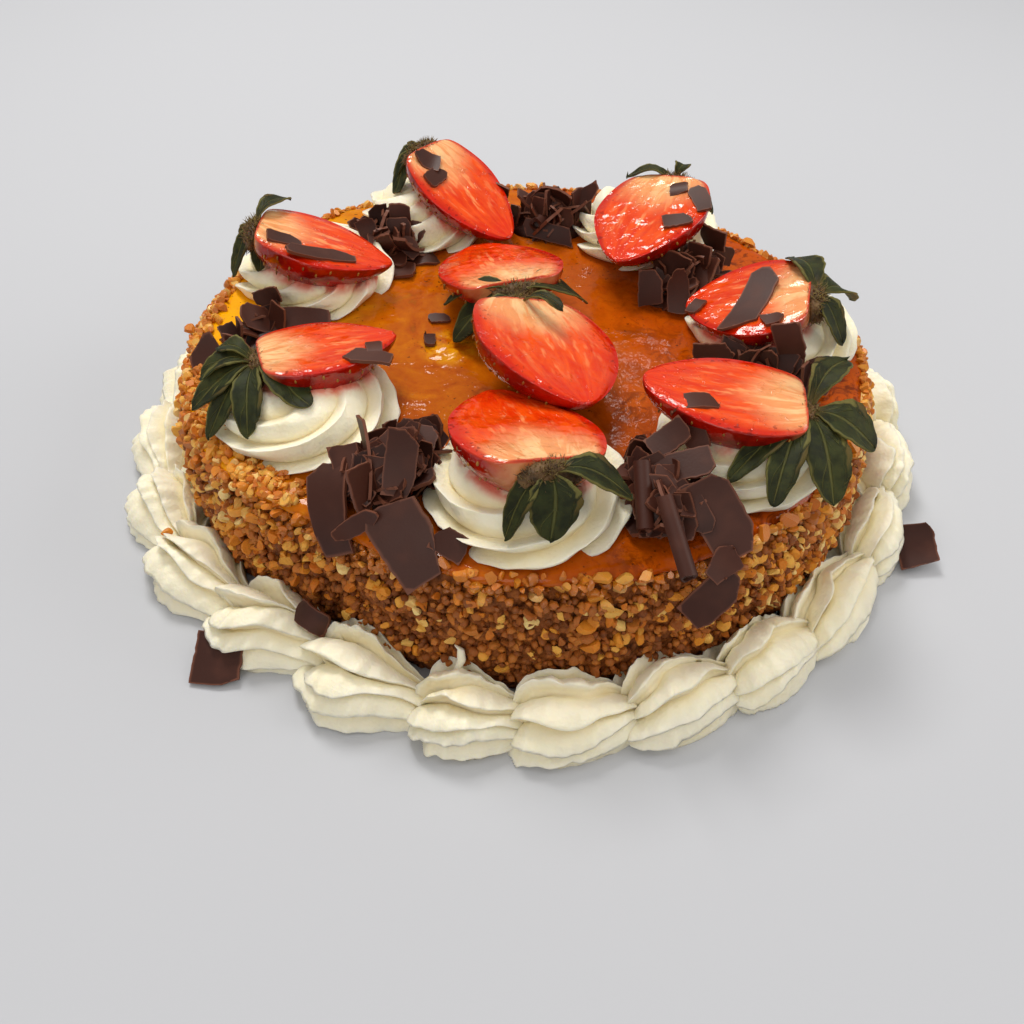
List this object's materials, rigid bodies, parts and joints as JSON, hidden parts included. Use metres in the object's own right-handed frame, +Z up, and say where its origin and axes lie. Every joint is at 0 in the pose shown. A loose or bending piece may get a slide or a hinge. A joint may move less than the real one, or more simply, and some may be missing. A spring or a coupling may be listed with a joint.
{
  "type": "decorated cake",
  "caption": "Round sponge cake with a nut-coated side, glazed egg yolk top, piped cream, halved strawberries and shaved chocolate.",
  "frame": {"origin": "middle of the sponge's flat underside, on the surface that the cake stands on", "axes": "+Z up out of the top of the cake, -Y towards the picture's viewer, +X to the viewer's right"},
  "size_m": [0.2625, 0.2492, 0.0716],
  "materials": {
    "chopped_nuts": "rough, moist chopped nuts in caramel browns",
    "egg_yolk": "wet amber glaze, burnt in patches",
    "cream": "soft satin whipped cream",
    "strawberry": "glazed cut face with a pale core, seeded skin",
    "leaf": "soft dark green with pale veins",
    "chocolate": "dry satin milk chocolate"
  },
  "bodies": {
    "root": {"calyx_back_left": "leaf", "calyx_back_right": "leaf", "calyx_centre_back": "leaf", "calyx_centre_front": "leaf", "calyx_front": "leaf", "calyx_left_back": "leaf", "calyx_left_front": "leaf", "calyx_right_back": "leaf", "calyx_right_front": "leaf", "chocolate_heap_back": "chocolate", "chocolate_heap_front_left": "chocolate", "chocolate_heap_front_right": "chocolate", "chocolate_heap_left": "chocolate", "chocolate_heap_left_back": "chocolate", "chocolate_heap_right": "chocolate", "chocolate_heap_right_back": "chocolate", "cream_rosette_back_left": "cream", "cream_rosette_back_right": "cream", "cream_rosette_front": "cream", "cream_rosette_left_back": "cream", "cream_rosette_left_front": "cream", "cream_rosette_right_back": "cream", "cream_rosette_right_front": "cream", "cream_shell_01": "cream", "cream_shell_02": "cream", "cream_shell_03": "cream", "cream_shell_04": "cream", "cream_shell_05": "cream", "cream_shell_06": "cream", "cream_shell_07": "cream", "cream_shell_08": "cream", "cream_shell_09": "cream", "cream_shell_10": "cream", "cream_shell_11": "cream", "cream_shell_12": "cream", "cream_shell_13": "cream", "cream_shell_14": "cream", "cream_shell_15": "cream", "cream_shell_16": "cream", "cream_shell_17": "cream", "cream_shell_18": "cream", "cream_shell_19": "cream", "cream_shell_20": "cream", "cream_shell_21": "cream", "cream_shell_22": "cream", "cream_shell_23": "cream", "cream_shell_24": "cream", "egg_yolk_glaze": "egg_yolk", "sponge_with_nuts": "chopped_nuts", "strawberry_back_left": "strawberry", "strawberry_back_right": "strawberry", "strawberry_centre_back": "strawberry", "strawberry_centre_front": "strawberry", "strawberry_front": "strawberry", "strawberry_left_back": "strawberry", "strawberry_left_front": "strawberry", "strawberry_right_back": "strawberry", "strawberry_right_front": "strawberry"}
  },
  "joints": []
}
